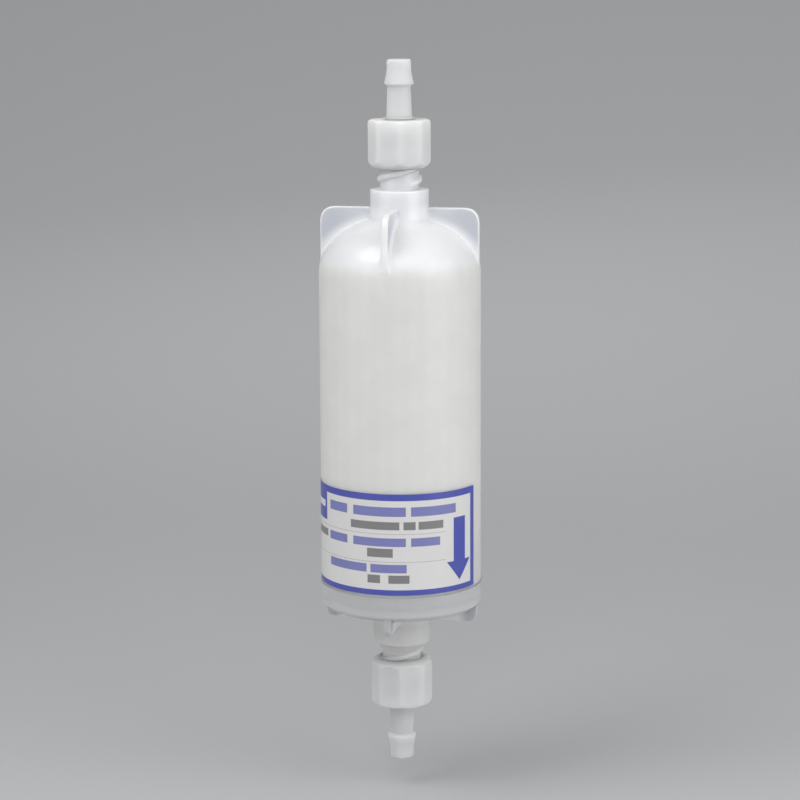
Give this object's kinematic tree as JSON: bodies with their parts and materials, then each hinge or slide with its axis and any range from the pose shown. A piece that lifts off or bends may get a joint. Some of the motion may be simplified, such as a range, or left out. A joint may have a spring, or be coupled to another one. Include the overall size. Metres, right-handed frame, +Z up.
{
  "type": "ink filter",
  "caption": "In-line capsule ink filter: a finned translucent housing with a pleated cartridge, and a hose barb held by a lock nut at each end.",
  "frame": {"origin": "centre of the outlet barb's tip, on the flow axis, at the lowest point of the part", "axes": "+Z up the flow axis from the outlet to the inlet; +X and +Y along two of the four fins"},
  "size_m": [0.0286, 0.0286, 0.1245],
  "materials": {
    "shell": "satin translucent polypropylene",
    "fitting": "natural moulded polypropylene, faintly translucent",
    "label_film": "white printed film with blue borders",
    "filter_media": "pleated nonwoven",
    "cartridge": "moulded polypropylene"
  },
  "bodies": {
    "housing": {"housing_bowl": "shell", "end_cap": "shell", "label": "label_film", "pleated_media": "filter_media", "core_tube": "cartridge", "outer_cage": "cartridge", "cartridge_top_cap": "cartridge", "cartridge_bottom_cap": "cartridge"},
    "inlet_fitting": {"inlet_barb": "fitting"},
    "inlet_lock": {"inlet_nut": "fitting"},
    "outlet_fitting": {"outlet_barb": "fitting"},
    "outlet_lock": {"outlet_nut": "fitting"}
  },
  "joints": [
    {"name": "inlet_barb_draw", "type": "slide", "parent": "housing", "child": "inlet_fitting", "axis": [0, 0, 1], "range_m": [-0.00064, 0.00435]},
    {"name": "inlet_nut_turn", "type": "hinge", "parent": "inlet_fitting", "child": "inlet_lock", "pos_m": [0, 0, 0.10997], "axis": [0, 0, 1], "range_deg": [-46, 314]},
    {"name": "outlet_barb_draw", "type": "slide", "parent": "housing", "child": "outlet_fitting", "axis": [0, 0, -1], "range_m": [0, 0.00499]},
    {"name": "outlet_nut_turn", "type": "hinge", "parent": "outlet_fitting", "child": "outlet_lock", "pos_m": [0, 0, 0.0145], "axis": [0, 0, -1], "range_deg": [0, 360]}
  ],
  "couplings": [
    {"joint": "inlet_nut_turn", "follows": "inlet_barb_draw", "rad_per_m": 1256.6},
    {"joint": "outlet_nut_turn", "follows": "outlet_barb_draw", "rad_per_m": 1256.6}
  ]
}
